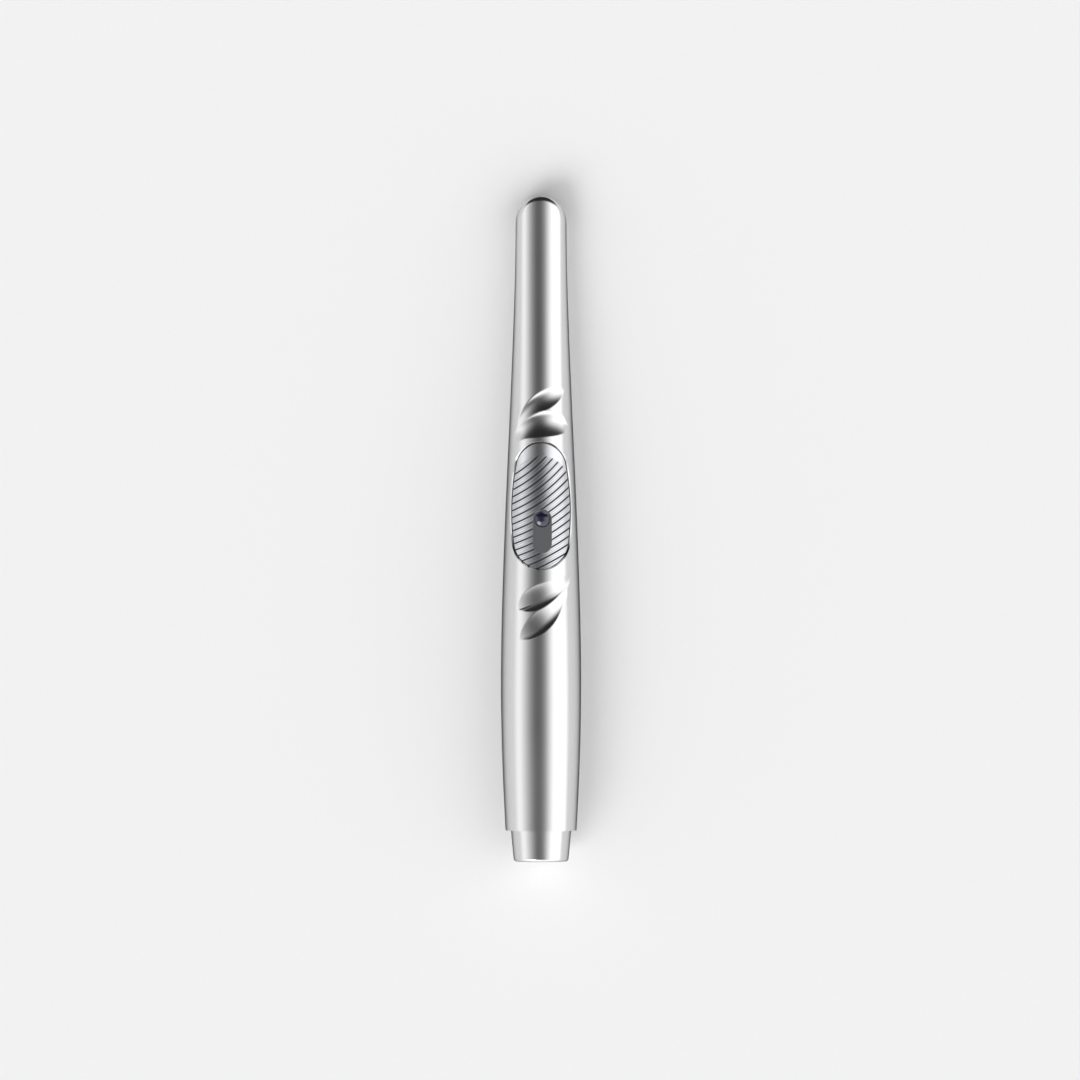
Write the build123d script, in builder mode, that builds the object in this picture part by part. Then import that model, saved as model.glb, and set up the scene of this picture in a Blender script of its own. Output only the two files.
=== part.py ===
from build123d import *
import math
import os

os.makedirs("parts", exist_ok=True)

# Intraoral camera, lying on its lens side: +Y towards the head, +X to the right, +Z up.
# The origin is on the surface it lies on, halfway along its length. Millimetres.

# Barrel
length = 200.0
cap_length = 9.33
wall = 1.2
flat_depth = 0.35
tail_lift = 1.0
tail_width, tail_top = 21.37, 19.6
rear_width, rear_top = 23.3, 20.4
belly_width, belly_top = 24.13, 20.6
grip_width, grip_top = 22.65, 19.3
neck_width, neck_top = 18.36, 15.0
throat_width, throat_top = 15.7, 11.6
head_width, head_top = 15.14, 10.4
rear_share, belly_share, grip_share, neck_share, throat_share = 0.1086, 0.2213, 0.4232, 0.6855, 0.8743
parting_tail, parting_head = 10.3, 5.2
tip_edge = 1.6
lip_depth = 0.8
lip_play = 0.05

# Capture key
key_top_y, key_top_r = 18.15, 7.4
key_bottom_y, key_bottom_r = -3.7, 8.1
key_side_r = 77.0
key_gap = 0.3
key_proud = 0.4
key_plate = 1.95
key_floor = 11.6
opening_floor = 9.4
post_r_key = 2.0
key_travel = 0.5
tab_reach = 1.4
tab_half_width = 5.0
tab_play = 0.15
rim_chamfer = 0.4
rib_centre = (-27.1, 47.76)
rib_pitch = 1.88
rib_groove = 0.4
rib_first, rib_last = 29.3, 76.0
crescent_y, crescent_r = 13.3, 8.5
thumb_x, thumb_y = 0.38, -0.9
thumb_width, thumb_length = 5.7, 13.15
thumb_deep, thumb_shallow = 1.0, 0.3

# Status lamp
lamp_x, lamp_y = 0.36, 2.84
lamp_r = 2.4
lamp_dome = 0.9
lamp_flange = 0.5
lamp_stem_r = 1.1
lamp_gap = 0.7
lamp_boss, lamp_step = 1.2, 0.8
status_led_size = (1.6, 0.8, 0.6)

# Crescent scoops: arc centre, arc radius, middle angle, swept angle, depth, width
scoops = [
    (6.86, 30.27, 13.4, 135.0, 76.0, 0.85, 5.0),
    (11.1, 19.9, 19.2, 133.0, 60.0, 0.95, 6.5),
    (-16.5, -4.96, 25.4, -47.0, 48.0, 0.95, 6.5),
    (-12.2, -17.5, 19.2, -42.0, 58.0, 0.85, 5.0),
]
backing = 0.8
backing_front = (28.5, 46.0)
backing_rear = (-38.0, -15.0)

# Window and optics in the head
bezel_r, bezel_lip_r = 5.6, 4.2
bezel_face = 0.2
bezel_lip = 0.35
glass_r, glass_thick = 4.75, 0.6
gasket_thick = 0.15
seat_play = 0.05
glass_play = 0.02
light_hole_r = 4.1
boss_r, boss_top = 6.4, 2.6
led_board_r, led_board_hole_r, led_board_thick = 4.9, 2.6, 0.5
led_count, led_ring_r = 6, 3.3
led_size = (1.2, 0.8, 0.5)
baffle_r, baffle_bore_r = 2.5, 2.1
lens_r, lens_length = 2.0, 2.8
lens_start, lens_wall = 1.9, 0.4
stop_r, stop_low, stop_high = 0.9, 1.15, 1.35
thread_play = 0.03
holder_side, holder_height = 6.4, 3.0
holder_gap = 0.25
pocket_side, pocket_depth = 5.0, 1.4
filter_side, filter_thick = 4.6, 0.3
sensor_size = (4.6, 3.8, 0.7)
sensor_board_width, sensor_board_back, sensor_board_front = 8.0, 14.6, 4.2
sensor_board_thick = 0.6
sensor_board_corner = 1.5
post_r, post_inset, post_setback = 0.8, 1.4, 4.4
link_width, link_inset = 3.0, 0.6

# Electronics in the grip
board_top, board_thick = 10.2, 1.2
board_width, board_tail_width = 14.0, 12.0
board_front = 25.0
board_tail_gap, board_tail_length = 6.0, 14.0
board_corner = 1.0
boss_outer_r, screw_pilot_r = 2.1, 0.65
screw_r, screw_head_r, screw_head, screw_length = 0.8, 1.6, 1.1, 5.7
screw_slot = (1.9, 0.4, 1.0)
screw_front_y, screw_tail_gap = 17.5, 34.0
switch_y, switch_side, switch_height = 9.5, 6.0, 3.6
plunger_r, plunger_stroke, plunger_above = 1.6, 1.2, 0.8
contact_gap = 0.05
connector_size, connector_inset = (7.0, 2.4, 1.0), 2.0
flex_width, flex_thick, flex_level, flex_bend = 5.6, 0.15, 12.0, 20.0
processor_size, processor_y = (8.0, 8.0, 0.9), -25.0
memory_size, memory_y = (8.0, 6.0, 0.8), -38.0
crystal_size, crystal_x, crystal_y = (3.2, 2.5, 0.7), 3.5, -15.0
passive_size, passive_pitch, passive_rows, passives_y = (1.6, 0.8, 0.7), (2.6, 2.4), (4, 3), -50.0

# Tail cap and cable inlet
collar_width, collar_height = 18.2, 15.5
collar_end_width, collar_end_height = 16.4, 13.8
cap_edge = 0.8
spigot_length = 7.0
spigot_play = 0.08
spigot_setback = 0.5
cap_wall = 2.4
socket_width, socket_height, socket_length = 8.94, 3.26, 7.35
socket_metal = 0.3
socket_play = 0.08
socket_inset = 0.4
tongue_width, tongue_thick, tongue_length = 6.7, 0.7, 5.6
seal_width = 0.9
socket_floor = 1.2

tip_y = length / 2
tail_y = -length / 2
shell_end_y = tail_y + cap_length
head_y = tip_y - head_width / 2
parting_slope = (parting_head - parting_tail) / (tip_y - shell_end_y)
board_back = tail_y + board_tail_gap
board_step = board_back + board_tail_length
screw_at = (tail_y + screw_tail_gap, screw_front_y)
over = 5.0


def station_y(share):
    """Place of a barrel section, as a share of the shells' length from their tail end."""
    return shell_end_y + share * (tip_y - shell_end_y)


def parting_z(y):
    """Height of the parting plane, which follows the barrel's widest line."""
    return parting_tail + parting_slope * (y - shell_end_y)


STATIONS = [
    (shell_end_y, tail_width, tail_top, tail_lift),
    (station_y(rear_share), rear_width, rear_top, 0.0),
    (station_y(belly_share), belly_width, belly_top, -flat_depth),
    (station_y(grip_share), grip_width, grip_top, -flat_depth),
    (station_y(neck_share), neck_width, neck_top, -flat_depth),
    (station_y(throat_share), throat_width, throat_top, -flat_depth),
    (tip_y + over, head_width, head_top, -flat_depth),
]


def oval(y, half_width, rise, drop):
    """Closed oval across the barrel at y, with its widest line on the parting plane."""
    plane = Plane(origin=(0, y, parting_z(y)), x_dir=(1, 0, 0), z_dir=(0, -1, 0))
    with BuildSketch(plane) as section:
        with BuildLine():
            EllipticalCenterArc((0, 0), half_width, rise, 0, arc_size=180)
            EllipticalCenterArc((0, 0), half_width, drop, 180, arc_size=180)
        make_face()
    return section.sketch


def barrel_form(inset, mode=Mode.ADD):
    """Smooth barrel through all stations, each side moved in by inset."""
    sections = []
    for y, width, top, underside in STATIONS:
        centre = parting_z(y)
        sections.append(oval(y, width / 2 - inset, top - centre - inset, centre - underside - inset))
    loft(sections, mode=mode)


def tip_outline(inset, mode):
    """Keeps only what lies inside the round-ended outline of the head."""
    with BuildSketch(Plane.XY.offset(-over)) as outline:
        with Locations((0, (head_y + shell_end_y - over) / 2)):
            Rectangle(2 * belly_width, head_y - shell_end_y + over)
        with Locations((0, head_y)):
            Circle(head_width / 2 - inset)
    extrude(outline.sketch, amount=belly_top + 2 * over, mode=mode)


def key_outline(grow, height):
    """Pill with bulging sides at a height: two end circles joined by two large tangent arcs."""
    top_r, bottom_r = key_top_r + grow, key_bottom_r + grow
    side_r = key_side_r + grow
    span = key_top_y - key_bottom_y
    to_top, to_bottom = side_r - top_r, side_r - bottom_r
    rise = (span**2 + to_bottom**2 - to_top**2) / (2 * span)
    reach = math.sqrt(to_bottom**2 - rise**2)
    top_dir = Vector(reach, span - rise).normalized()
    bottom_dir = Vector(reach, -rise).normalized()
    right_top = Vector(0, key_top_y) + top_dir * top_r
    right_bottom = Vector(0, key_bottom_y) + bottom_dir * bottom_r
    right_mid = Vector(side_r - reach, key_bottom_y + rise)
    left_top, left_bottom, left_mid = (Vector(-p.X, p.Y) for p in (right_top, right_bottom, right_mid))
    with BuildSketch(Plane.XY.offset(height)) as outline:
        with BuildLine():
            ThreePointArc(right_top, (0, key_top_y + top_r), left_top)
            ThreePointArc(left_top, left_mid, left_bottom)
            ThreePointArc(left_bottom, (0, key_bottom_y - bottom_r), right_bottom)
            ThreePointArc(right_bottom, right_mid, right_top)
        make_face()
    return outline.sketch


def key_prism(grow, mode, start=key_floor):
    """Upright prism of the key's outline, from start to above the barrel."""
    extrude(key_outline(grow, start), amount=belly_top + over - start, mode=mode)


def surface_z(x, y):
    """Height of the smooth barrel's upper side above a point."""
    plumb = Edge.make_line((x, y, parting_tail / 2), (x, y, belly_top + over))
    return max(v.Z for v in smooth_barrel.part.intersect(plumb).vertices())


def on_outside(edge):
    """True for an edge that runs over the barrel's upper side."""
    middle = edge.position_at(0.5)
    size = edge.bounding_box().size
    upright = math.hypot(size.X, size.Y) < size.Z / 10
    return not upright and middle.Z > surface_z(middle.X, middle.Y) - wall / 2


def scoop_cut(centre_x, centre_y, radius, middle, sweep_angle, depth, width):
    """Crescent cut: steep at its outer arc, with a hollow floor that rises inwards to nothing."""
    angle = math.radians(middle)
    mid_x = centre_x + radius * math.cos(angle)
    mid_y = centre_y + radius * math.sin(angle)
    fall_x = surface_z(mid_x - 1, mid_y) - surface_z(mid_x + 1, mid_y)
    fall_y = surface_z(mid_x, mid_y - 1) - surface_z(mid_x, mid_y + 1)
    up = Vector(fall_x, fall_y, 2).normalized()
    outward = Vector(math.cos(angle), math.sin(angle), 0)
    outward = (outward - up * outward.dot(up)).normalized()
    edge = Vector(mid_x, mid_y, surface_z(mid_x, mid_y))
    axis = Axis(edge - outward * radius, up)
    start = outward.rotate(Axis((0, 0, 0), up), -sweep_angle / 2)
    plane = Plane(origin=axis.position + start * radius, x_dir=start, z_dir=start.cross(up))
    with BuildSketch(plane) as profile:
        with BuildLine():
            Polyline((-width, depth), (depth / 4, depth), (0, -depth))
            ThreePointArc((0, -depth), (-width * 0.55, -depth * 0.75), (-width, depth / 2))
            Line((-width, depth / 2), (-width, depth))
        make_face()
    revolve(profile.sketch, axis=axis, revolution_arc=sweep_angle, mode=Mode.SUBTRACT)


def shape_between(start, end):
    """Keeps only the stretch of the part from start to end along Y."""
    with Locations((0, (start + end) / 2, belly_top / 2)):
        Box(2 * belly_width, end - start, 2 * belly_top, mode=Mode.INTERSECT)


def backing_band(start, end):
    """Thick arch over a stretch of the barrel, to be left standing when the inside is hollowed."""
    barrel_form(-wall)
    shape_between(start, end)
    barrel_form(wall + backing, mode=Mode.SUBTRACT)
    split(bisect_by=parting.offset(wall), keep=Keep.TOP)


def tube(outer_r, inner_r, low, high, x=0.0, y=0.0):
    """Upright ring or, with no inner radius, an upright disc."""
    with BuildSketch(Plane.XY.offset(low)) as ring:
        with Locations((x, y)):
            Circle(outer_r)
            if inner_r:
                Circle(inner_r, mode=Mode.SUBTRACT)
    extrude(ring.sketch, amount=high - low)


def block(size, x, y, low):
    """Upright box on a level, centred on x and y."""
    with Locations((x, y, low + size[2] / 2)):
        Box(*size)


def save(builder, name):
    """Labels a finished piece and writes it."""
    builder.part.label = name
    export_step(builder.part, f"parts/{name}.step")


# Levels in the head, from the window upwards
glass_low = bezel_face + bezel_lip
glass_high = glass_low + glass_thick
seat_level = glass_high + gasket_thick
led_board_high = boss_top + led_board_thick
holder_low = led_board_high + holder_gap
holder_high = holder_low + holder_height
sensor_board_high = holder_high + sensor_board_thick
rear_post_y = head_y - sensor_board_back + post_setback
sensor_connector_y = head_y - sensor_board_back + connector_inset

# Levels in the grip
board_low = board_top - board_thick
switch_high = board_top + switch_height
plunger_high = switch_high + plunger_above
status_led_high = board_top + status_led_size[2]
main_connector_y = board_front - connector_inset

parting = Plane(
    origin=(0, shell_end_y, parting_tail), x_dir=(1, 0, 0), z_dir=(0, -parting_slope, 1)
)

# Barrel before it is parted: round tip with a rolled edge, a flat to lie on, four crescent scoops
with BuildPart() as smooth_barrel:
    barrel_form(0)
    tip_outline(0, Mode.INTERSECT)
    split(bisect_by=Plane.XY, keep=Keep.TOP)
    tip_edges = [e for e in smooth_barrel.edges() if e.bounding_box().min.Y > head_y - 2 * tip_edge]
    fillet(tip_edges, tip_edge)

with BuildPart() as barrel:
    add(smooth_barrel.part)
    for scoop in scoops:
        scoop_cut(*scoop)

# Inside of the shells, with a thicker wall behind the scoops
with BuildPart() as front_band:
    backing_band(*backing_front)

with BuildPart() as rear_band:
    backing_band(*backing_rear)

with BuildPart() as cavity:
    barrel_form(wall)
    tip_outline(wall, Mode.INTERSECT)
    add([front_band.part, rear_band.part], mode=Mode.SUBTRACT)

with BuildPart() as lip:
    barrel_form(wall / 2 + lip_play)
    tip_outline(wall / 2 + lip_play, Mode.INTERSECT)
    add(cavity.part, mode=Mode.SUBTRACT)
    split(bisect_by=parting.offset(-lip_depth), keep=Keep.TOP)
    split(bisect_by=parting.offset(wall), keep=Keep.BOTTOM)

with BuildPart() as rebate:
    barrel_form(wall / 2)
    tip_outline(wall / 2, Mode.INTERSECT)
    split(bisect_by=parting.offset(-lip_depth - lip_play), keep=Keep.TOP)

# Posts that hold the sensor board down, trimmed to the barrel
with BuildPart() as posts:
    for side in (-1, 1):
        post_x = side * (sensor_board_width / 2 - post_inset)
        tube(post_r, 0, sensor_board_high, belly_top, post_x, rear_post_y)
    add(barrel.part, mode=Mode.INTERSECT)

# Upper shell with the key's opening
with BuildPart() as back_shell:
    add(barrel.part)
    add(cavity.part, mode=Mode.SUBTRACT)
    split(bisect_by=parting, keep=Keep.TOP)
    add(lip.part)
    key_prism(key_gap, Mode.SUBTRACT, opening_floor)
    opening_walls = [
        face
        for face in back_shell.faces()
        if abs(face.normal_at().Z) < 0.001
        and face.bounding_box().min.Y > key_bottom_y - key_bottom_r - wall
        and face.bounding_box().max.Y < key_top_y + key_top_r + wall
    ]
    chamfer([edge for face in opening_walls for edge in face.edges() if on_outside(edge)], rim_chamfer)
    add(posts.part)
save(back_shell, "back_shell")

# Lower shell with the window seat in the head and two posts for the main board
with BuildPart() as window_boss:
    tube(boss_r, 0, 0, boss_top, 0, head_y)
    add(barrel.part, mode=Mode.INTERSECT)

with BuildPart() as front_shell:
    add(barrel.part)
    add(cavity.part, mode=Mode.SUBTRACT)
    split(bisect_by=parting, keep=Keep.BOTTOM)
    add(rebate.part, mode=Mode.SUBTRACT)
    add(window_boss.part)
    with Locations((0, head_y, seat_level / 2)):
        Cylinder(bezel_r + seat_play, seat_level, mode=Mode.SUBTRACT)
    with Locations((0, head_y, boss_top / 2)):
        Cylinder(light_hole_r, 2 * boss_top, mode=Mode.SUBTRACT)
    for y in screw_at:
        tube(boss_outer_r, 0, wall / 2, board_low, 0, y)
        with Locations((0, y, board_low)):
            Cylinder(screw_r + thread_play, 2 * screw_length, mode=Mode.SUBTRACT)
save(front_shell, "front_shell")

# Tail cap: tapered collar, spigot inside the shells, seat for the cable inlet
socket_z = parting_z(tail_y)
spigot_end = shell_end_y + spigot_length
collar_start = shell_end_y + spigot_setback
socket_front = tail_y + socket_inset
socket_back = socket_front + socket_length
groove_y = (collar_start + spigot_end) / 2


def spigot_ring(inset, start, end, mode=Mode.ADD):
    """Stretch of the barrel's form, moved in by inset, between two places along Y."""
    with BuildPart() as ring:
        barrel_form(inset)
        shape_between(start, end)
    add(ring.part, mode=mode)


with BuildPart() as tail_cap:
    loft(
        [
            oval(tail_y, collar_end_width / 2, collar_end_height / 2, collar_end_height / 2),
            oval(collar_start, collar_width / 2, collar_height / 2, collar_height / 2),
        ]
    )
    end_edges = tail_cap.faces().sort_by(Axis.Y)[0].edges()
    fillet(end_edges, cap_edge)
    spigot_ring(wall + spigot_play, collar_start, spigot_end)
    spigot_ring(wall + spigot_play, groove_y - seal_width / 2, groove_y + seal_width / 2, Mode.SUBTRACT)
    spigot_ring(wall + spigot_play + seal_width, collar_start, spigot_end)
    spigot_ring(wall + cap_wall, shell_end_y, spigot_end + over, Mode.SUBTRACT)
    hollow_width = tail_width / 2 - wall - cap_wall
    hollow_height = (tail_top - tail_lift) / 2 - wall - cap_wall
    hollow = [oval(y, hollow_width, hollow_height, hollow_height) for y in (board_back - 0.4, shell_end_y + wall)]
    loft(hollow, mode=Mode.SUBTRACT)
    with BuildSketch(Plane(origin=(0, tail_y, socket_z), x_dir=(1, 0, 0), z_dir=(0, 1, 0))) as mouth:
        RectangleRounded(
            socket_width + 2 * socket_play, socket_height + 2 * socket_play, socket_height / 2
        )
    extrude(mouth.sketch, amount=socket_length + over, both=True, mode=Mode.SUBTRACT)
save(tail_cap, "tail_cap")

with BuildPart() as tail_gasket:
    spigot_ring(wall + seat_play, groove_y - seal_width / 2 + seat_play, groove_y + seal_width / 2 - seat_play)
    spigot_ring(wall + spigot_play + seal_width - seat_play, groove_y - over, groove_y + over, Mode.SUBTRACT)
save(tail_gasket, "tail_gasket")

# Cable inlet: folded metal shell with a contact tongue
with BuildPart() as usb_socket:
    mouth_plane = Plane(origin=(0, socket_front, socket_z), x_dir=(-1, 0, 0), z_dir=(0, 1, 0))
    with BuildSketch(mouth_plane) as shell_outer:
        RectangleRounded(socket_width, socket_height, socket_height / 2 - 0.01)
    extrude(shell_outer.sketch, amount=socket_length)
    with BuildSketch(mouth_plane) as shell_inner:
        RectangleRounded(
            socket_width - 2 * socket_metal,
            socket_height - 2 * socket_metal,
            socket_height / 2 - socket_metal - 0.01,
        )
    extrude(shell_inner.sketch, amount=socket_length - socket_floor, mode=Mode.SUBTRACT)
save(usb_socket, "usb_socket")

with BuildPart() as usb_tongue:
    with Locations((0, socket_back - socket_floor - tongue_length / 2, socket_z)):
        Box(tongue_width, tongue_length, tongue_thick)
save(usb_tongue, "usb_tongue")

# Capture key: plate that follows the barrel, with ribs, thumb recess, tabs and a post for the switch
with BuildPart() as ribs:
    barrel_form(-key_proud)
    key_prism(0, Mode.INTERSECT)
    with BuildSketch(Plane.XY.offset(key_floor)) as ribbed_zone:
        with Locations((0, crescent_y)):
            Circle(crescent_r)
        with Locations((0, (crescent_y + key_bottom_y - 2 * key_bottom_r) / 2)):
            Rectangle(2 * belly_width, crescent_y - key_bottom_y + 2 * key_bottom_r)
    extrude(ribbed_zone.sketch, amount=belly_top, mode=Mode.INTERSECT)
    barrel_form(key_proud, mode=Mode.SUBTRACT)
    groove_count = int((rib_last - rib_first) / rib_pitch)
    with BuildSketch(Plane.XY.offset(key_floor - 1)) as grooves:
        with Locations(rib_centre):
            for step in range(groove_count, -1, -1):
                Circle(rib_first + step * rib_pitch + rib_groove / 2)
                Circle(rib_first + step * rib_pitch - rib_groove / 2, mode=Mode.SUBTRACT)
    extrude(grooves.sketch, amount=belly_top, mode=Mode.SUBTRACT)

with BuildPart() as tabs:
    barrel_form(wall + tab_play)
    key_prism(tab_reach, Mode.INTERSECT)
    with Locations((0, 0, belly_top)):
        Box(2 * tab_half_width, length, belly_top, mode=Mode.INTERSECT)

thumb_top = thumb_y + thumb_length / 2
thumb_bottom = thumb_y - thumb_length / 2
thumb_high = surface_z(0, thumb_bottom) - thumb_shallow
thumb_low = surface_z(0, thumb_top) - thumb_deep
thumb_slope = (thumb_low - thumb_high) / thumb_length
lamp_floor = thumb_high + thumb_slope * (lamp_y - thumb_bottom)
lamp_seat = surface_z(0, lamp_y) - key_plate - lamp_step
thumb_plane = Plane(
    origin=(thumb_x, thumb_y, (thumb_high + thumb_low) / 2), x_dir=(1, 0, 0), z_dir=(0, -thumb_slope, 1)
)

with BuildPart() as capture_key:
    barrel_form(0)
    key_prism(0, Mode.INTERSECT)
    add(tabs.part)
    barrel_form(key_plate, mode=Mode.SUBTRACT)
    add(ribs.part)
    tube(post_r_key, 0, plunger_high + contact_gap, surface_z(0, switch_y) - wall, 0, switch_y)
    tube(lamp_r + lamp_boss, 0, lamp_seat, lamp_floor - 0.1, lamp_x, lamp_y)
    with BuildSketch(thumb_plane) as thumb:
        SlotOverall(thumb_length, thumb_width, rotation=90)
    extrude(thumb.sketch, amount=over, mode=Mode.SUBTRACT)
    with Locations((lamp_x, lamp_y, lamp_floor)):
        Cylinder(lamp_r + seat_play, 4 * key_plate, mode=Mode.SUBTRACT)
save(capture_key, "capture_key")

# Status lamp lens: dome, flange under the key and a stem that guides the light up
with BuildPart() as status_lamp_lens:
    with BuildSketch(Plane.XZ.offset(-lamp_y)) as half:
        with BuildLine():
            Polyline(
                (lamp_x, lamp_floor + lamp_dome),
                (lamp_x, status_led_high + lamp_gap),
                (lamp_x + lamp_stem_r, status_led_high + lamp_gap),
                (lamp_x + lamp_stem_r, lamp_seat - lamp_flange),
                (lamp_x + lamp_r + lamp_flange, lamp_seat - lamp_flange),
                (lamp_x + lamp_r + lamp_flange, lamp_seat),
                (lamp_x + lamp_r, lamp_seat),
                (lamp_x + lamp_r, lamp_floor),
            )
            RadiusArc(
                (lamp_x + lamp_r, lamp_floor),
                (lamp_x, lamp_floor + lamp_dome),
                -(lamp_r**2 + lamp_dome**2) / (2 * lamp_dome),
            )
        make_face()
    revolve(half.sketch, axis=Axis((lamp_x, lamp_y, 0), (0, 0, 1)))
save(status_lamp_lens, "status_lamp_lens")

# Push switch under the key
with BuildPart() as switch_body:
    block((switch_side, switch_side, switch_height), 0, switch_y, board_top)
    with Locations((0, switch_y, switch_high)):
        Cylinder(plunger_r + seat_play, 2 * (plunger_stroke + key_travel + 0.1), mode=Mode.SUBTRACT)
save(switch_body, "switch_body")

with BuildPart() as switch_plunger:
    tube(plunger_r, 0, switch_high - plunger_stroke, plunger_high, 0, switch_y)
save(switch_plunger, "switch_plunger")

with BuildPart() as status_led:
    block(status_led_size, lamp_x, lamp_y, board_top)
save(status_led, "status_led")

# Round window: bezel, glass and gasket
with BuildPart() as window_bezel:
    tube(bezel_r, glass_r + seat_play, bezel_face, glass_high, 0, head_y)
    tube(glass_r + 0.2, bezel_lip_r, bezel_face, glass_low, 0, head_y)
save(window_bezel, "window_bezel")

with BuildPart() as lens_window:
    tube(glass_r, 0, glass_low, glass_high, 0, head_y)
save(lens_window, "lens_window")

with BuildPart() as window_gasket:
    tube(bezel_r, light_hole_r, glass_high, seat_level, 0, head_y)
save(window_gasket, "window_gasket")

# Ring of lamps
with BuildPart() as led_board:
    tube(led_board_r, led_board_hole_r, boss_top, led_board_high, 0, head_y)
save(led_board, "led_board")

with BuildPart() as leds:
    with Locations((0, head_y, boss_top - led_size[2] / 2)):
        with PolarLocations(led_ring_r, led_count):
            Box(led_size[1], led_size[0], led_size[2])
save(leds, "leds")

with BuildPart() as lens_baffle:
    tube(baffle_r, baffle_bore_r, glass_high + seat_play, holder_low, 0, head_y)
save(lens_baffle, "lens_baffle")

# Objective
with BuildPart() as lens_barrel:
    tube(lens_r, lens_r - lens_wall, lens_start, lens_start + lens_length, 0, head_y)
    tube(lens_r - lens_wall / 2, stop_r, lens_start + stop_low, lens_start + stop_high, 0, head_y)
save(lens_barrel, "lens_barrel")


def lens(rim_r, low, high, bulge_low, bulge_high):
    """Lens turned about the optical axis: a cylindrical rim and two curved faces, hollow if negative."""
    low_r = (rim_r**2 + bulge_low**2) / (2 * bulge_low)
    high_r = (rim_r**2 + bulge_high**2) / (2 * bulge_high)
    with BuildSketch(Plane.XZ.offset(-head_y)) as half:
        with BuildLine():
            Line((rim_r, low), (rim_r, high))
            RadiusArc((rim_r, high), (0, high + bulge_high), -high_r)
            Line((0, high + bulge_high), (0, low - bulge_low))
            RadiusArc((0, low - bulge_low), (rim_r, low), -low_r)
        make_face()
    revolve(half.sketch, axis=Axis((0, head_y, 0), (0, 0, 1)))


glass_rim_r = lens_r - lens_wall - glass_play

with BuildPart() as front_lens:
    lens(glass_rim_r, lens_start + 0.55, lens_start + stop_low - glass_play, 0.35, -0.15)
save(front_lens, "front_lens")

with BuildPart() as rear_lens:
    lens(glass_rim_r, lens_start + stop_high + glass_play, lens_start + 2.1, -0.15, 0.3)
save(rear_lens, "rear_lens")

with BuildPart() as lens_holder:
    block((holder_side, holder_side, holder_height), 0, head_y, holder_low)
    with Locations((0, head_y, holder_low)):
        Cylinder(lens_r + thread_play, 2 * holder_height, mode=Mode.SUBTRACT)
    with Locations((0, head_y, holder_high - pocket_depth / 2)):
        Box(pocket_side, pocket_side, pocket_depth, mode=Mode.SUBTRACT)
save(lens_holder, "lens_holder")

with BuildPart() as ir_filter:
    block((filter_side, filter_side, filter_thick), 0, head_y, holder_high - pocket_depth)
save(ir_filter, "ir_filter")

with BuildPart() as image_sensor:
    block(sensor_size, 0, head_y, holder_high - sensor_size[2])
save(image_sensor, "image_sensor")

with BuildPart() as sensor_board:
    with BuildSketch(Plane.XY.offset(holder_high)):
        with Locations((0, head_y + (sensor_board_front - sensor_board_back) / 2)):
            RectangleRounded(
                sensor_board_width, sensor_board_front + sensor_board_back, sensor_board_corner
            )
    extrude(amount=sensor_board_thick)
save(sensor_board, "sensor_board")

with BuildPart() as link_flex:
    link_y = head_y - led_board_r + link_inset
    block((link_width, flex_thick, holder_high - led_board_high), 0, link_y, led_board_high)
save(link_flex, "link_flex")

# Connectors and the flexible cable from the head to the grip
with BuildPart() as sensor_connector:
    block(connector_size, 0, sensor_connector_y, sensor_board_high)
save(sensor_connector, "sensor_connector")

with BuildPart() as main_connector:
    block(connector_size, 0, main_connector_y, board_top)
save(main_connector, "main_connector")

with BuildPart() as flex_cable:
    flex_start = main_connector_y + connector_size[1] / 2
    flex_end = sensor_connector_y - connector_size[1] / 2
    with BuildLine(Plane.YZ) as route:
        FilletPolyline(
            (flex_start, board_top + connector_size[2] / 2),
            (flex_start + flex_level, board_top + connector_size[2] / 2),
            (flex_end - flex_level, sensor_board_high + connector_size[2] / 2),
            (flex_end, sensor_board_high + connector_size[2] / 2),
            radius=flex_bend,
        )
    with BuildSketch(Plane(origin=route.line @ 0, x_dir=(1, 0, 0), z_dir=(0, 1, 0))):
        Rectangle(flex_width, flex_thick)
    sweep(path=route.line)
save(flex_cable, "flex_cable")

# Main board: wide in the grip, narrower in the tail cap, notched for the cable inlet
with BuildPart() as main_board:
    with BuildSketch(Plane.XY.offset(board_low)):
        with Locations((0, (board_front + board_step) / 2)):
            RectangleRounded(board_width, board_front - board_step, board_corner)
        with Locations((0, (board_step + board_back) / 2 + board_corner)):
            Rectangle(board_tail_width, board_step - board_back + 2 * board_corner)
        with Locations((0, board_back)):
            Rectangle(
                socket_width + 2 * socket_play, 2 * (socket_back - board_back + 0.1), mode=Mode.SUBTRACT
            )
        with Locations([(0, y) for y in screw_at]):
            Circle(screw_r + thread_play, mode=Mode.SUBTRACT)
    extrude(amount=board_thick)
save(main_board, "main_board")

with BuildPart() as processor:
    block(processor_size, 0, processor_y, board_top)
save(processor, "processor")

with BuildPart() as memory_chip:
    block(memory_size, 0, memory_y, board_top)
save(memory_chip, "memory_chip")

with BuildPart() as crystal:
    block(crystal_size, crystal_x, crystal_y, board_top)
save(crystal, "crystal")

with BuildPart() as passives:
    with Locations((0, passives_y, board_top + passive_size[2] / 2)):
        with GridLocations(*passive_pitch, *passive_rows):
            Box(*passive_size)
save(passives, "passives")

with BuildPart() as board_screws:
    for y in screw_at:
        tube(screw_head_r, 0, board_top, board_top + screw_head, 0, y)
        tube(screw_r, 0, board_top - screw_length, board_top, 0, y)
        for turn in (0, 90):
            with Locations(Location((0, y, board_top + screw_head), (0, 0, turn))):
                Box(*screw_slot, mode=Mode.SUBTRACT)
save(board_screws, "board_screws")
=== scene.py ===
import math

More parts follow.
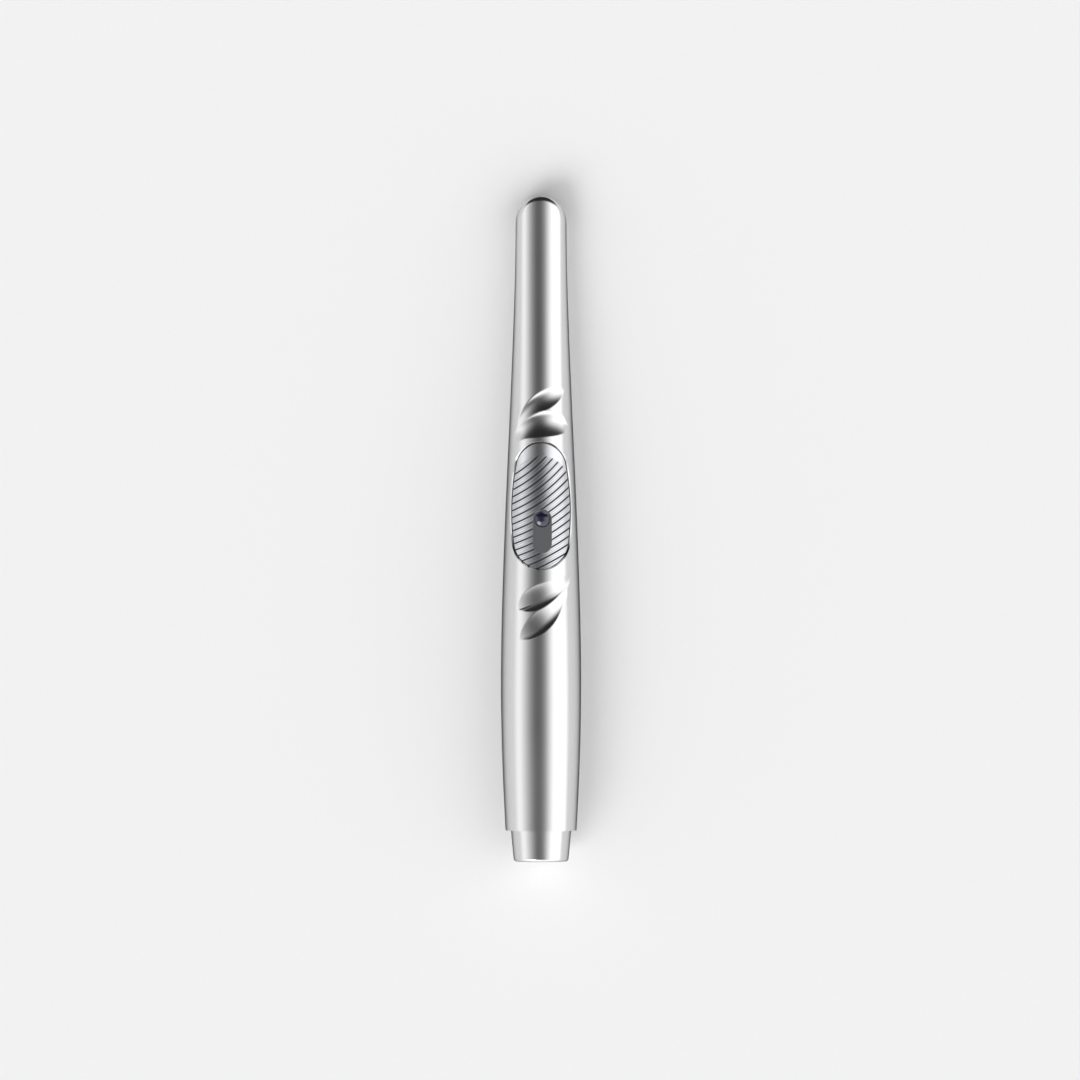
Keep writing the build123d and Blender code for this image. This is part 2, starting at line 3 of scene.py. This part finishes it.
import bmesh
import bpy
import numpy as np
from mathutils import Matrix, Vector


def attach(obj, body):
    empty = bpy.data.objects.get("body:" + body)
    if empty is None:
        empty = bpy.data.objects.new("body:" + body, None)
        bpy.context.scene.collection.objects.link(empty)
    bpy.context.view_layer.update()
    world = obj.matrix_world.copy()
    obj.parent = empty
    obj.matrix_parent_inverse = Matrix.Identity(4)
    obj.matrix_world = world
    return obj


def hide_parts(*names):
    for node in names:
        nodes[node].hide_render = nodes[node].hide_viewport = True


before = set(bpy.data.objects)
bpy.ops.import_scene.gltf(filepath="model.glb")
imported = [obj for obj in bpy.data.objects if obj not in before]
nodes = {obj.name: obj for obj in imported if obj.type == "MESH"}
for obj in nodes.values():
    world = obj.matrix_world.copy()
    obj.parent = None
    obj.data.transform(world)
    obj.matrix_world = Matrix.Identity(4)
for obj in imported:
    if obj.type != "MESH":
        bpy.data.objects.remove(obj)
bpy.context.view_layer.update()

# Studio camera: it hangs straight over the hand-piece with a long lens, which keeps the barrel's
# outline true. It stands a little left of the barrel's middle and towards its tail.
MM = 0.001
camera_data = bpy.data.cameras.new("studio_camera")
camera_data.lens = 240.0
camera_data.sensor_width = 36.0
camera = bpy.data.objects.new("studio_camera", camera_data)
camera.location = (-0.316 * MM, -3.386 * MM, 2.1765)
bpy.context.scene.collection.objects.link(camera)
bpy.context.scene.camera = camera
bpy.context.scene.view_settings.view_transform = "Standard"


# Floor: one wide disc of pale card that runs out of every view. It is pressed pulp with an uncoated
# face, and lies flat under the barrel.
def linear(code):
    """sRGB hex to linear RGBA."""
    channels = [int(code[i:i + 2], 16) / 255 for i in (1, 3, 5)]
    channels = [c / 12.92 if c <= 0.04045 else ((c + 0.055) / 1.055) ** 2.4 for c in channels]
    return (*channels, 1.0)


def add(tree, kind, inputs=None, **settings):
    """Adds a node with its settings. Inputs are values, or other nodes' outputs to link."""
    node = tree.nodes.new(kind)
    for name, value in settings.items():
        setattr(node, name, value)
    for socket, value in (inputs or {}).items():
        if isinstance(value, bpy.types.NodeSocket):
            tree.links.new(value, node.inputs[socket])
        else:
            node.inputs[socket].default_value = value
    return node


def new_material(name):
    """Empty node material and its tree."""
    material = bpy.data.materials.new(name)
    material.use_nodes = True
    material.node_tree.nodes.clear()
    return material, material.node_tree


# Pale matt card: no gloss, and a tone that the fibre makes barely uneven.
tufts_per_metre = 900.0  # 1.1 mm apart
card, tree = new_material("pale_matt_card")
where = add(tree, "ShaderNodeNewGeometry")
fibre = add(tree, "ShaderNodeTexNoise", {
    "Vector": where.outputs["Position"], "Scale": tufts_per_metre, "Detail": 3.0})
tone = add(tree, "ShaderNodeMapRange", {
    "Value": fibre.outputs["Fac"], "To Min": 0.99, "To Max": 1.01})
shade = add(tree, "ShaderNodeMix", {
    0: 1.0, 6: linear("#F3F3F3"), 7: tone.outputs["Result"]},
    data_type="RGBA", blend_type="MULTIPLY")
surface = add(tree, "ShaderNodeBsdfPrincipled", {
    "Base Color": shade.outputs[2], "Roughness": 0.9, "Specular IOR Level": 0.1})
add(tree, "ShaderNodeOutputMaterial", {"Surface": surface.outputs["BSDF"]})

floor_radius = 6.0
floor_mesh = bpy.data.meshes.new("studio_floor")
disc = bmesh.new()
bmesh.ops.create_circle(disc, cap_ends=True, segments=96, radius=floor_radius)
disc.to_mesh(floor_mesh)
disc.free()
floor_mesh.materials.append(card)
floor = bpy.data.objects.new("studio_floor", floor_mesh)
bpy.context.scene.collection.objects.link(floor)

# Strip lamps: long soft boxes that run beside the barrel. Dark cloth hangs beyond the head, a
# bright screen stands behind the tail, and pale walls close the studio low down.
strips = [  # degrees from straight up towards the right, and how bright the studio is there
    (-90, 0.60), (-79, 1.05), (-66, 1.30), (-57, 1.20), (-49, 0.92), (-40, 0.64), (-32, 0.42),
    (-23, 0.24), (-14, 0.14), (-6, 0.13), (2, 0.18), (10, 0.34), (18, 0.68), (26, 1.12),
    (34, 1.45), (44, 1.6), (70, 1.6), (78, 1.30), (86, 0.8), (90, 0.5),
]
cloth_level, screen_level, wall_level = 0.02, 1.5, 0.88
ramp_scale = 2.0  # a colour ramp ends at 1, so it holds half of each level
world = bpy.data.worlds.new("strip_lamp_studio")
bpy.context.scene.world = world
world.use_nodes = True
tree = world.node_tree
tree.nodes.clear()
where = add(tree, "ShaderNodeTexCoord")
axes = add(tree, "ShaderNodeSeparateXYZ", {"Vector": where.outputs["Generated"]})
around = add(tree, "ShaderNodeMath", {
    0: axes.outputs["X"], 1: axes.outputs["Z"]}, operation="ARCTAN2")
share = add(tree, "ShaderNodeMapRange", {
    "Value": around.outputs[0], "From Min": -math.pi / 2, "From Max": math.pi / 2})
row = add(tree, "ShaderNodeValToRGB", {"Fac": share.outputs["Result"]})
ramp = row.color_ramp
ramp.interpolation = "EASE"
while len(ramp.elements) < len(strips):
    ramp.elements.new(0.5)
for element, (angle, level) in zip(ramp.elements, strips):
    element.position = (angle + 90) / 180
    element.color = (*[level / ramp_scale] * 3, 1.0)
lamps = add(tree, "ShaderNodeMath", {
    0: row.outputs["Color"], 1: ramp_scale}, operation="MULTIPLY")
to_head = add(tree, "ShaderNodeMapRange", {
    "Value": axes.outputs["Y"], "From Min": 0.22, "From Max": 0.5},
    interpolation_type="SMOOTHSTEP")
to_tail = add(tree, "ShaderNodeMapRange", {
    "Value": axes.outputs["Y"], "From Min": -0.25, "From Max": -0.55},
    interpolation_type="SMOOTHSTEP")
low_down = add(tree, "ShaderNodeMapRange", {
    "Value": axes.outputs["Z"], "From Min": 0.10, "From Max": 0.07},
    interpolation_type="SMOOTHSTEP")
studio = lamps.outputs[0]
for place, there in ((to_head, cloth_level), (to_tail, screen_level), (low_down, wall_level)):
    mixed = add(tree, "ShaderNodeMix", {0: place.outputs["Result"], 2: studio, 3: there})
    studio = mixed.outputs[0]
light = add(tree, "ShaderNodeBackground", {"Color": studio, "Strength": 1.0})
add(tree, "ShaderNodeOutputWorld", {"Surface": light.outputs["Background"]})

# Key lamp: one large soft lamp that stands beyond the tail on the left. It lights the floor and
# gives the barrel its soft shadow.
lamp_data = bpy.data.lights.new("soft_key_lamp", "SUN")
lamp_data.energy = 1.1
lamp_data.angle = math.radians(34)
lamp = bpy.data.objects.new("soft_key_lamp", lamp_data)
lamp_place = Vector((-0.48, -0.58, 0.66))
lamp.rotation_euler = lamp_place.to_track_quat("Z", "Y").to_euler()
bpy.context.scene.collection.objects.link(lamp)

# Barrel: two die-cast zinc shells, ground smooth and plated with satin chrome, that close on a line
# along the sides. The upper shell has two pairs of crescent flutes and the key's opening.
# Sizes are in mm. The stations' shares run from the shells' end to the tip.
shell_end, tip = -90.67, 100.0
beyond_tip = (tip + 5.0 - shell_end) / (tip - shell_end)
station_shares = (0.0, 0.1086, 0.2213, 0.4232, 0.6855, 0.8743, beyond_tip)
station_widths = (21.37, 23.3, 24.13, 22.65, 18.36, 15.7, 15.14)
station_tops = (19.6, 20.4, 20.59, 19.3, 15.0, 11.6, 10.4)
closing_at_end, closing_fall = 10.3, 5.1


def smooth_line(knots, values, at):
    """Natural cubic spline through the knots."""
    x, v, at = (np.asarray(part, float) for part in (knots, values, at))
    step = np.diff(x)
    system = np.eye(len(x))
    rise = np.zeros(len(x))
    for i in range(1, len(x) - 1):
        system[i, i - 1:i + 2] = step[i - 1], 2 * (step[i - 1] + step[i]), step[i]
        rise[i] = 6 * ((v[i + 1] - v[i]) / step[i] - (v[i] - v[i - 1]) / step[i - 1])
    bend = np.linalg.solve(system, rise)
    i = np.clip(np.searchsorted(x, at) - 1, 0, len(step) - 1)
    left, right = (x[i + 1] - at), (at - x[i])
    return (
        (bend[i] * left**3 + bend[i + 1] * right**3) / (6 * step[i])
        + (v[i] / step[i] - bend[i] * step[i] / 6) * left
        + (v[i + 1] / step[i] - bend[i + 1] * step[i] / 6) * right
    )


def barrel_section(y):
    """Half width, height above the closing line and level of the closing line, at y."""
    share = (np.asarray(y, float) - shell_end) / (tip - shell_end)
    closing = closing_at_end - closing_fall * share
    half = smooth_line(station_shares, station_widths, share) / 2
    return half, smooth_line(station_shares, station_tops, share) - closing, closing


def barrel_top(x, y):
    """Level of the unfluted barrel over a point."""
    half, rise, closing = barrel_section(y)
    return closing + rise * np.sqrt(np.clip(1 - (np.asarray(x) / half) ** 2, 0, 1))


# Each flute is steep on one side and runs out softly on the other: the tool's radius, its share on
# the left and right of the way it goes, and the stops (x, y, depth) that it passes.
flutes = [
    (6.0, 0.45, 2.2, [
        (-7.6, 27.6, -0.2), (-6.5, 31.7, 0.10), (-4.8, 34.9, 0.32), (-1.7, 38.1, 0.55),
        (1.9, 40.2, 0.55), (5.0, 41.4, 0.22), (8.4, 42.2, -0.3)]),
    (9.0, 0.45, 2.0, [
        (-9.6, 23.4, -0.3), (-7.3, 28.3, 0.15), (-4.7, 31.0, 0.45), (-0.4, 32.8, 0.78),
        (3.9, 32.8, 0.66), (6.8, 31.7, 0.25), (9.6, 29.5, -0.3)]),
    (9.0, 0.45, 2.0, [
        (9.8, -11.8, -0.3), (8.2, -15.5, 0.08), (6.0, -18.0, 0.25), (2.7, -20.2, 0.55),
        (-0.8, -21.9, 0.68), (-4.2, -23.3, 0.30), (-8.1, -24.7, -0.3)]),
    (7.5, 0.45, 2.0, [
        (8.2, -16.2, -0.2), (7.3, -19.1, 0.07), (5.8, -22.2, 0.24), (3.3, -26.0, 0.52),
        (0.1, -29.1, 0.62), (-3.4, -31.7, 0.30), (-7.5, -34.2, -0.3)]),
]
tool_steps = 160


def flute_depth(across, y):
    """How deep the flutes lie under a point, given by its distance round the barrel and its y."""
    deepest = np.zeros_like(across)
    for tool, left_share, right_share, stops in flutes:
        pace = np.linspace(0, len(stops) - 1, tool_steps)
        x, along, depth = (smooth_line(range(len(stops)), column, pace) for column in zip(*stops))
        half = barrel_section(along)[0]
        round_x = half * np.arcsin(np.clip(x / half, -1, 1))
        ways = zip(round_x, along, depth, np.gradient(round_x), np.gradient(along))
        for a, b, d, way_x, way_y in ways:
            on_left = way_x * (y - b) - way_y * (across - a) > 0
            radius = tool * np.where(on_left, left_share, right_share)
            deepest = np.maximum(deepest, d - ((across - a) ** 2 + (y - b) ** 2) / (2 * radius))
    return deepest


def make_piece(name, points, faces, material):
    """Mesh object from points in mm."""
    mesh = bpy.data.meshes.new(name)
    mesh.from_pydata([tuple(c * MM for c in p) for p in points], [], faces)
    mesh.materials.append(material)
    piece = bpy.data.objects.new(name, mesh)
    bpy.context.scene.collection.objects.link(piece)
    return piece


def finish_mesh(piece, crease=math.radians(32)):
    """Merges doubles, faces the surface outwards and shades it smooth up to a crease."""
    shape = bmesh.new()
    shape.from_mesh(piece.data)
    bmesh.ops.remove_doubles(shape, verts=shape.verts, dist=0.002 * MM)
    bmesh.ops.dissolve_degenerate(shape, edges=shape.edges, dist=0.001 * MM)
    bmesh.ops.recalc_face_normals(shape, faces=shape.faces)
    shape.to_mesh(piece.data)
    shape.free()
    piece.data.shade_smooth()
    piece.data.set_sharp_from_angle(angle=crease)


# Satin chrome: a soft mirror whose gloss is a little cloudy from polishing. Its near-black edge
# tint paints a dark reflection towards the silhouette. The plating's grain is finer than a hair,
# and is drawn coarser so that it shows.
grains_per_metre, clouds_per_metre = 6000.0, 90.0  # 0.17 mm and 11 mm apart
plate, tree = new_material("satin_chrome_plate")
where = add(tree, "ShaderNodeTexCoord")
grain = add(tree, "ShaderNodeTexNoise", {
    "Vector": where.outputs["Object"], "Scale": grains_per_metre, "Detail": 2.0})
cloud = add(tree, "ShaderNodeTexNoise", {
    "Vector": where.outputs["Object"], "Scale": clouds_per_metre, "Detail": 2.0})
rough = add(tree, "ShaderNodeMapRange", {
    "Value": cloud.outputs["Fac"], "To Min": 0.17, "To Max": 0.22})
relief = add(tree, "ShaderNodeBump", {
    "Height": grain.outputs["Fac"], "Strength": 0.02, "Distance": 0.05 * MM})
# Painted reflection: the near-black Specular Tint darkens the chrome towards its silhouette.
surface = add(tree, "ShaderNodeBsdfPrincipled", {
    "Base Color": linear("#DADADB"), "Metallic": 1.0, "Roughness": rough.outputs["Result"],
    "Specular Tint": (0.08, 0.08, 0.08, 1.0), "Normal": relief.outputs["Normal"]})
add(tree, "ShaderNodeOutputMaterial", {"Surface": surface.outputs["BSDF"]})

# The skin: rows of points along the barrel, close together where the flutes run, that go over the
# top from one side to the other.
head_radius = 7.57
head_y = tip - head_radius
columns = 150
turn = np.linspace(-math.pi / 2, math.pi / 2, columns + 1)
stretches = [  # from y, to y, rows
    (shell_end, -38, 18), (-38, -8, 112), (-8, 21, 20), (21, 46, 92), (46, head_y, 16)]
rows = np.concatenate([
    np.linspace(start, end, number, endpoint=(end == head_y)) for start, end, number in stretches])
half, rise, closing = (part[:, None] for part in barrel_section(rows))
x = half * np.sin(turn)
y = rows[:, None] + 0 * x
z = closing + rise * np.cos(turn)
skin = np.stack([x, y, z], axis=2)
inward = np.cross(np.gradient(skin, axis=0), np.gradient(skin, axis=1))
inward /= np.linalg.norm(inward, axis=2, keepdims=True)
inward *= np.where(inward[:, :, 2:3] > 0, -1.0, 1.0)
skin += inward * flute_depth(half * turn, y)[:, :, None]

# The nose: each lengthwise line runs on to the round outline, over a rolled edge that eases in from
# the sides, and down to the closing line.
roll_width, roll_radius, roll_ease = 1.65, 2.4, 4.5
nose_rows, wall_rows, side_play = 26, 5, 0.01
x_nose = np.clip(skin[-1, :, 0], side_play - head_radius, head_radius - side_play)
y_end = head_y + np.sqrt(head_radius**2 - x_nose**2)
nose = []
for part in 1 - (1 - np.linspace(0, 1, nose_rows + 1)[1:]) ** 2:
    y_row = head_y + (y_end - head_y) * part
    gap = head_radius - np.hypot(x_nose, y_row - head_y)
    drop = roll_radius - np.sqrt(roll_radius**2 - np.clip(roll_width - gap, 0, None) ** 2)
    ease = np.clip((y_row - head_y) / roll_ease, 0, 1)
    drop *= ease**2 * (3 - 2 * ease)
    level = np.maximum(barrel_top(x_nose, y_row) - drop, barrel_section(y_row)[2])
    nose.append(np.stack([x_nose, y_row, level], axis=1))
rim = nose[-1][:, 2]
foot = barrel_section(y_end)[2]
for part in np.linspace(0, 1, wall_rows + 1)[1:]:
    nose.append(np.stack([x_nose, y_end, rim * (1 - part) + foot * part], axis=1))
skin = np.concatenate([skin, np.array(nose)])

count = columns + 1
faces = [
    (r * count + c, r * count + c + 1, (r + 1) * count + c + 1, (r + 1) * count + c)
    for r in range(len(skin) - 1) for c in range(columns)
]
upper_shell = make_piece("upper_shell", skin.reshape(-1, 3), faces, plate)
finish_mesh(upper_shell)
wall = upper_shell.modifiers.new("wall", "SOLIDIFY")
wall.thickness = 0.9 * MM
wall.offset = -1.0

# The opening: the key's outline, two end circles joined by two large tangent arcs, grown by the
# play round the key, with a 45 degree chamfer at the top.
top_y, top_radius = 18.15, 7.4
low_y, low_radius = -3.7, 8.1
side_radius = 77.0


def key_outline(grow):
    """Points round the key's outline, grown outwards."""
    span = top_y - low_y
    to_top, to_low = side_radius - top_radius, side_radius - low_radius
    lift = (span**2 + to_low**2 - to_top**2) / (2 * span)
    reach = math.sqrt(to_low**2 - lift**2)
    upper = math.atan2(span - lift, reach)
    lower = math.atan2(-lift, reach)
    points = []
    for centre, radius, start, end, steps in (
        ((-reach, low_y + lift), side_radius + grow, lower, upper, 40),
        ((0, top_y), top_radius + grow, upper, math.pi - upper, 60),
        ((reach, low_y + lift), side_radius + grow, math.pi - upper, math.pi - lower, 40),
        ((0, low_y), low_radius + grow, math.pi - lower, 2 * math.pi + lower, 60),
    ):
        for angle in np.linspace(start, end, steps, endpoint=False):
            points.append((
                centre[0] + radius * math.cos(angle), centre[1] + radius * math.sin(angle)))
    return points


play, below_wall = 0.3, -5.0
chamfer_low, chamfer_high = -0.4, 0.3  # levels over the barrel's top
outlines = (
    (play, below_wall), (play, chamfer_low), (play + chamfer_high - chamfer_low, chamfer_high))
rings = [
    [(px, py, float(barrel_top(px, py)) + level) for px, py in key_outline(grow)]
    for grow, level in outlines
]
cutter_foot, cutter_head = (0, 8, 7.0), (0, 8, 30.0)
count = len(rings[0])
points = [p for ring in rings for p in ring] + [cutter_foot, cutter_head]
foot, head = 3 * count, 3 * count + 1
faces = [
    (k * count + i, k * count + (i + 1) % count, (k + 1) * count + (i + 1) % count,
     (k + 1) * count + i)
    for k in range(2) for i in range(count)
]
faces += [((i + 1) % count, i, foot) for i in range(count)]
faces += [(2 * count + i, 2 * count + (i + 1) % count, head) for i in range(count)]
cutter = make_piece("opening_cutter", points, faces, plate)
finish_mesh(cutter)
opening = upper_shell.modifiers.new("opening", "BOOLEAN")
opening.operation = "DIFFERENCE"
opening.solver = "EXACT"
opening.object = cutter
bpy.context.view_layer.update()
cut_shell = upper_shell.evaluated_get(bpy.context.evaluated_depsgraph_get())
cut_mesh = bpy.data.meshes.new_from_object(cut_shell)
upper_shell.modifiers.clear()
upper_shell.data = cut_mesh
bpy.data.objects.remove(cutter)
finish_mesh(upper_shell)
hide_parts("back_shell")
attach(upper_shell, "housing")


def dress(material, *names):
    """Gives carried-over parts their finish."""
    for name in names:
        nodes[name].data.materials.clear()
        nodes[name].data.materials.append(material)


dress(plate, "front_shell")

# Tail cap: a tapered collar, turned from bar and plated like the shells. It is pushed into the tail
# over its gasket.
dress(plate, "tail_cap")

# Capture key: die-cast and plated like the shells, with curved ribs for grip and a smooth thumb
# recess. It hangs in the opening and pushes the switch below it. Sizes are in mm.
rib_centre = (-27.1, 47.76)  # the ribs are arcs round this point
first_rib, rib_pitch = 29.3, 1.88
ribbed_end_y, ribbed_end_radius = 13.3, 8.5
recess_x, recess_low, recess_high, recess_radius = 0.38, -4.6, 2.84, 2.86

# Ribbed chrome: bright ribs, dull grooves between them, and two finer lines between each pair.
# Their dark grey is painted shade.
ribbed, tree = new_material("ribbed_satin_chrome")
where = add(tree, "ShaderNodeTexCoord")
axes = add(tree, "ShaderNodeSeparateXYZ", {"Vector": where.outputs["Object"]})
flat = add(tree, "ShaderNodeCombineXYZ", {"X": axes.outputs["X"], "Y": axes.outputs["Y"]})
radius = add(tree, "ShaderNodeVectorMath", {
    0: flat.outputs["Vector"], 1: (rib_centre[0] * MM, rib_centre[1] * MM, 0)},
    operation="DISTANCE")
from_first = add(tree, "ShaderNodeMath", {
    0: radius.outputs["Value"], 1: first_rib * MM}, operation="SUBTRACT")
pitches = add(tree, "ShaderNodeMath", {
    0: from_first.outputs[0], 1: rib_pitch * MM}, operation="DIVIDE")
marks = []
for lines_per_pitch, outer, inner, painted_shade_and_depth in ((1.0, 0.15, 0.09, 1.0), (3.0, 0.22, 0.1, 0.35)):
    passed = add(tree, "ShaderNodeMath", {
        0: pitches.outputs[0], 1: lines_per_pitch}, operation="MULTIPLY")
    nearest = add(tree, "ShaderNodeMath", {0: passed.outputs[0]}, operation="ROUND")
    off = add(tree, "ShaderNodeMath", {
        0: passed.outputs[0], 1: nearest.outputs[0]}, operation="SUBTRACT")
    away = add(tree, "ShaderNodeMath", {0: off.outputs[0]}, operation="ABSOLUTE")
    marks.append(add(tree, "ShaderNodeMapRange", {
        "Value": away.outputs[0], "From Min": outer, "From Max": inner, "To Max": painted_shade_and_depth}))
lines = add(tree, "ShaderNodeMath", {
    0: marks[0].outputs["Result"], 1: marks[1].outputs["Result"]}, operation="MAXIMUM")

# The ribs end on a round line near the key's top, and at the recess.
from_end = add(tree, "ShaderNodeVectorMath", {
    0: flat.outputs["Vector"], 1: (0, ribbed_end_y * MM, 0)}, operation="DISTANCE")
in_end = add(tree, "ShaderNodeMath", {
    0: from_end.outputs["Value"], 1: ribbed_end_radius * MM}, operation="LESS_THAN")
below_end = add(tree, "ShaderNodeMath", {
    0: axes.outputs["Y"], 1: ribbed_end_y * MM}, operation="LESS_THAN")
ribbed_part = add(tree, "ShaderNodeMath", {
    0: in_end.outputs[0], 1: below_end.outputs[0]}, operation="MAXIMUM")
recess_level = add(tree, "ShaderNodeClamp", {
    "Value": axes.outputs["Y"], "Min": recess_low * MM, "Max": recess_high * MM})
recess_middle = add(tree, "ShaderNodeCombineXYZ", {
    "X": recess_x * MM, "Y": recess_level.outputs["Result"]})
from_middle = add(tree, "ShaderNodeVectorMath", {
    0: flat.outputs["Vector"], 1: recess_middle.outputs["Vector"]}, operation="DISTANCE")
outside = add(tree, "ShaderNodeMath", {
    0: from_middle.outputs["Value"], 1: recess_radius * MM}, operation="GREATER_THAN")
for part in (ribbed_part, outside):
    lines = add(tree, "ShaderNodeMath", {
        0: lines.outputs[0], 1: part.outputs[0]}, operation="MULTIPLY")
# Painted shade: dark grey along the grooves and the finer lines.
colour = add(tree, "ShaderNodeMix", {
    0: lines.outputs[0], 6: linear("#D2D3D6"), 7: linear("#45484F")}, data_type="RGBA")
rough = add(tree, "ShaderNodeMapRange", {
    "Value": lines.outputs[0], "To Min": 0.2, "To Max": 0.5})
relief = add(tree, "ShaderNodeBump", {
    "Height": lines.outputs[0], "Strength": 0.3, "Distance": 0.1 * MM}, invert=True)
surface = add(tree, "ShaderNodeBsdfPrincipled", {
    "Base Color": colour.outputs[2], "Metallic": 1.0, "Roughness": rough.outputs["Result"],
    "Normal": relief.outputs["Normal"]})
add(tree, "ShaderNodeOutputMaterial", {"Surface": surface.outputs["BSDF"]})
dress(ribbed, "capture_key")

# Status lamp lens: a small dome of smoked polycarbonate, moulded and polished, and pressed into the
# key's recess from below.

# Smoked polycarbonate: blue-black and glossy, a little uneven where it flowed in the mould.
swirls_per_metre = 700.0  # 1.4 mm apart
smoked, tree = new_material("smoked_polycarbonate")
where = add(tree, "ShaderNodeTexCoord")
flow = add(tree, "ShaderNodeTexNoise", {
    "Vector": where.outputs["Object"], "Scale": swirls_per_metre, "Detail": 2.0})
colour = add(tree, "ShaderNodeMix", {
    0: flow.outputs["Fac"], 6: linear("#171A2A"), 7: linear("#232741")}, data_type="RGBA")
surface = add(tree, "ShaderNodeBsdfPrincipled", {
    "Base Color": colour.outputs[2], "Roughness": 0.08, "IOR": 1.585, "Coat Weight": 0.5,
    "Coat Roughness": 0.03})
add(tree, "ShaderNodeOutputMaterial", {"Surface": surface.outputs["BSDF"]})
dress(smoked, "status_lamp_lens")


# Head window: a glass disc in a turned aluminium bezel, sealed by a moulded gasket. A ring of lamps
# on a small board lights through it, and a rubber tube keeps their light out of the lens.
def grained(name, dark, pale, grain_size, roughness, bump=0.0, metallic=0.0, ior=1.5, clear=0.0):
    """Finish whose fine grain, in mm, runs between two colours. A metal keeps the default IOR."""
    material, tree = new_material(name)
    where = add(tree, "ShaderNodeTexCoord")
    grain = add(tree, "ShaderNodeTexNoise", {
        "Vector": where.outputs["Object"], "Scale": 1 / (grain_size * MM), "Detail": 3.0})
    colour = add(tree, "ShaderNodeMix", {
        0: grain.outputs["Fac"], 6: linear(dark), 7: linear(pale)}, data_type="RGBA")
    gloss = add(tree, "ShaderNodeMapRange", {
        "Value": grain.outputs["Fac"], "To Min": roughness * 0.85, "To Max": roughness * 1.15})
    surface = add(tree, "ShaderNodeBsdfPrincipled", {
        "Base Color": colour.outputs[2], "Metallic": metallic,
        "Roughness": gloss.outputs["Result"], "Transmission Weight": clear})
    if not metallic:
        surface.inputs["IOR"].default_value = ior
    if bump:
        relief = add(tree, "ShaderNodeBump", {
            "Height": grain.outputs["Fac"], "Strength": bump, "Distance": 0.02 * MM})
        tree.links.new(relief.outputs["Normal"], surface.inputs["Normal"])
    add(tree, "ShaderNodeOutputMaterial", {"Surface": surface.outputs["BSDF"]})
    return material


# Black anodising: a dull black metal with a faint tooth from the blasting before it.
anodised = grained("black_anodised_aluminium", "#17171A", "#26262A", 0.08, 0.35, 0.15, metallic=1.0)
# Coated glass: clear and mirror smooth.
clear_glass = grained("coated_optical_glass", "#F2F6FA", "#FFFFFF", 5.0, 0.02, ior=1.52, clear=1.0)
# Silicone rubber: soft black without gloss, a little dusty.
rubber = grained("black_silicone_rubber", "#0E0E0F", "#1B1B1C", 0.3, 0.75, 0.3, ior=1.42)
# Solder mask: green lacquer over copper and glass weave, half glossy.
board = grained("green_solder_mask_board", "#0E3D22", "#17522F", 0.4, 0.35, 0.15)
# Lamp resin: milky yellow from the phosphor in it.
lamp_resin = grained("white_led_resin", "#E9E2B4", "#F4EFD0", 0.3, 0.3, 0.1)
dress(anodised, "window_bezel")
dress(clear_glass, "lens_window")
dress(rubber, "window_gasket", "lens_baffle")
dress(board, "led_board")
dress(lamp_resin, "leds")

# Objective: two ground glass lenses in a turned aluminium barrel, which slides in a moulded holder.
# The holder stands on the sensor's board, with a filter glass over the sensor.

# Glass-filled nylon: black, half matt, with a fine moulded grain.
nylon = grained("black_glass_filled_nylon", "#0C0C0D", "#1A1A1B", 0.15, 0.5, 0.25, ior=1.53)
# Filter glass: clear with a cool green-blue cast.
filter_glass = grained(
    "infrared_filter_glass", "#9FD8D6", "#B4E4E0", 3.0, 0.03, ior=1.52, clear=1.0)
# Sensor: a dark chip under a glossy cover glass, with a faint blue cast.
sensor_glass = grained("sensor_cover_glass", "#10131A", "#262C3C", 0.5, 0.06, ior=1.52)
dress(anodised, "lens_barrel")
dress(clear_glass, "front_lens", "rear_lens")
dress(nylon, "lens_holder")
dress(filter_glass, "ir_filter")
dress(sensor_glass, "image_sensor")
dress(board, "sensor_board")

# Electronics: the main board is screwed to posts in the lower shell and carries the chips. Flexible
# strips in moulded connectors join the boards.

# Chip epoxy: flat black with the mould's fine tooth.
epoxy = grained("black_epoxy_chip", "#141416", "#202023", 0.1, 0.55, 0.25, ior=1.55)
# Drawn steel: bright and a little brushed.
steel = grained("deep_drawn_stainless_steel", "#B9B9BA", "#D0D0D1", 0.2, 0.28, 0.1, metallic=1.0)
# Fired ceramic: tan and dull.
ceramic = grained("tan_fired_ceramic", "#8E6F4C", "#A88660", 0.2, 0.5, 0.15, ior=1.6)
# Connector nylon: ivory and half matt.
ivory = grained("ivory_connector_nylon", "#D3C7A4", "#E2D9BC", 0.2, 0.45, 0.15, ior=1.53)
# Polyimide film: glossy amber, darker where copper runs below it.
film = grained("amber_polyimide_film", "#A85E12", "#C47A22", 0.6, 0.25, 0.1, ior=1.7)
# Zinc plating: pale bluish metal, half bright.
zinc = grained("zinc_plated_steel", "#B4B6B8", "#CDCFCF", 0.1, 0.3, 0.15, metallic=1.0)
dress(board, "main_board")
dress(epoxy, "processor", "memory_chip")
dress(steel, "crystal")
dress(ceramic, "passives")
dress(ivory, "sensor_connector", "main_connector")
dress(film, "flex_cable", "link_flex")
dress(zinc, "board_screws")

# Key switch: a moulded push switch with a white plunger, soldered to the main board under the key.
# A small lamp beside it lights the key's lens from below.

# Acetal: white, smooth and waxy.
acetal = grained("white_acetal", "#E2E2DC", "#EFEFEA", 0.2, 0.35, 0.1, ior=1.48)
dress(nylon, "switch_body")
dress(acetal, "switch_plunger")
dress(lamp_resin, "status_led")

# Cable inlet: a folded steel sleeve round a black contact tongue, set in the tail cap. The cap
# seats on a moulded gasket.
dress(steel, "usb_socket")
dress(nylon, "usb_tongue")
dress(rubber, "tail_gasket")
